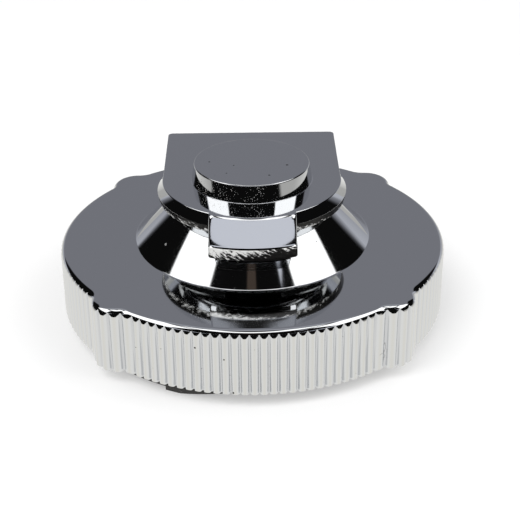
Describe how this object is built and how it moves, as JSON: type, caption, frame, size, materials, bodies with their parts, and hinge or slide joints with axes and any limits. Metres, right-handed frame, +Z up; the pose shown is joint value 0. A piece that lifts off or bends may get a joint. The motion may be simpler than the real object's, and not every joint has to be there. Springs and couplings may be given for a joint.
{
  "type": "locking fuel cap",
  "caption": "Round chrome locking fuel cap with a ribbed lobed skirt, cone boss, flip-up key cover with a finger tab, key lock with sliding bolts and a black bayonet ring.",
  "frame": {"origin": "on the cap's axis, at the plane of the bayonet lugs' feet that it rests on", "axes": "+Z up through the key cover, -Y towards the finger tab, +X to the right when facing the tab"},
  "size_m": [0.0964, 0.0964, 0.0402],
  "materials": {
    "chrome_plate": "bright chrome plating over a die casting",
    "bright_steel": "drawn steel wire and pin",
    "satin_nickel": "nickel-plated brass",
    "black_rubber": "moulded fuel-proof rubber",
    "brass": "turned brass",
    "zinc_steel": "zinc-plated steel",
    "bare_zinc": "as-cast light alloy",
    "white_plastic": "moulded plastic",
    "black_coat": "black coated casting",
    "black_screw": "black oxide steel"
  },
  "bodies": {
    "cap": {"cap_body": "chrome_plate", "lock_barrel": "satin_nickel", "barrel_seal": "black_rubber", "barrel_nut": "brass", "hinge_pin": "bright_steel", "lock_housing": "bare_zinc", "housing_seal": "black_rubber", "cover_plate": "zinc_steel", "housing_screws": "zinc_steel", "vent_retainer": "brass", "vent_spring": "bright_steel", "bayonet_ring": "black_coat", "ring_screws": "black_screw", "gasket": "black_rubber"},
    "cover": {"key_cover": "chrome_plate"},
    "plug": {"lock_plug": "brass", "lock_wafers": "brass", "plug_clip": "bright_steel", "cam_disc": "zinc_steel", "cam_screw": "zinc_steel"},
    "right_bolt": {"right_bolt": "zinc_steel"},
    "left_bolt": {"left_bolt": "zinc_steel"},
    "vent": {"vent_poppet": "white_plastic"}
  },
  "joints": [
    {"name": "cover_hinge", "type": "hinge", "parent": "cap", "child": "cover", "pos_m": [0, 0.027, 0.0274], "axis": [-1, 0, 0], "range_deg": [0, 100]},
    {"name": "key_turn", "type": "hinge", "parent": "cap", "child": "plug", "pos_m": [0, 0, 0.0332], "axis": [0, 0, -1], "range_deg": [0, 90]},
    {"name": "right_bolt_slide", "type": "slide", "parent": "cap", "child": "right_bolt", "axis": [-1, 0, 0], "range_m": [0, 0.005]},
    {"name": "left_bolt_slide", "type": "slide", "parent": "cap", "child": "left_bolt", "axis": [1, 0, 0], "range_m": [0, 0.005]},
    {"name": "vent_open", "type": "slide", "parent": "cap", "child": "vent", "axis": [0, 0, -1], "range_m": [0, 0.0015], "stiffness_N_per_m": 60, "springref_m": -0.002, "deforming": ["vent_spring"]}
  ],
  "couplings": [
    {"joint": "right_bolt_slide", "follows": "key_turn", "m_per_rad": 0.0031831},
    {"joint": "left_bolt_slide", "follows": "key_turn", "m_per_rad": 0.0031831}
  ]
}
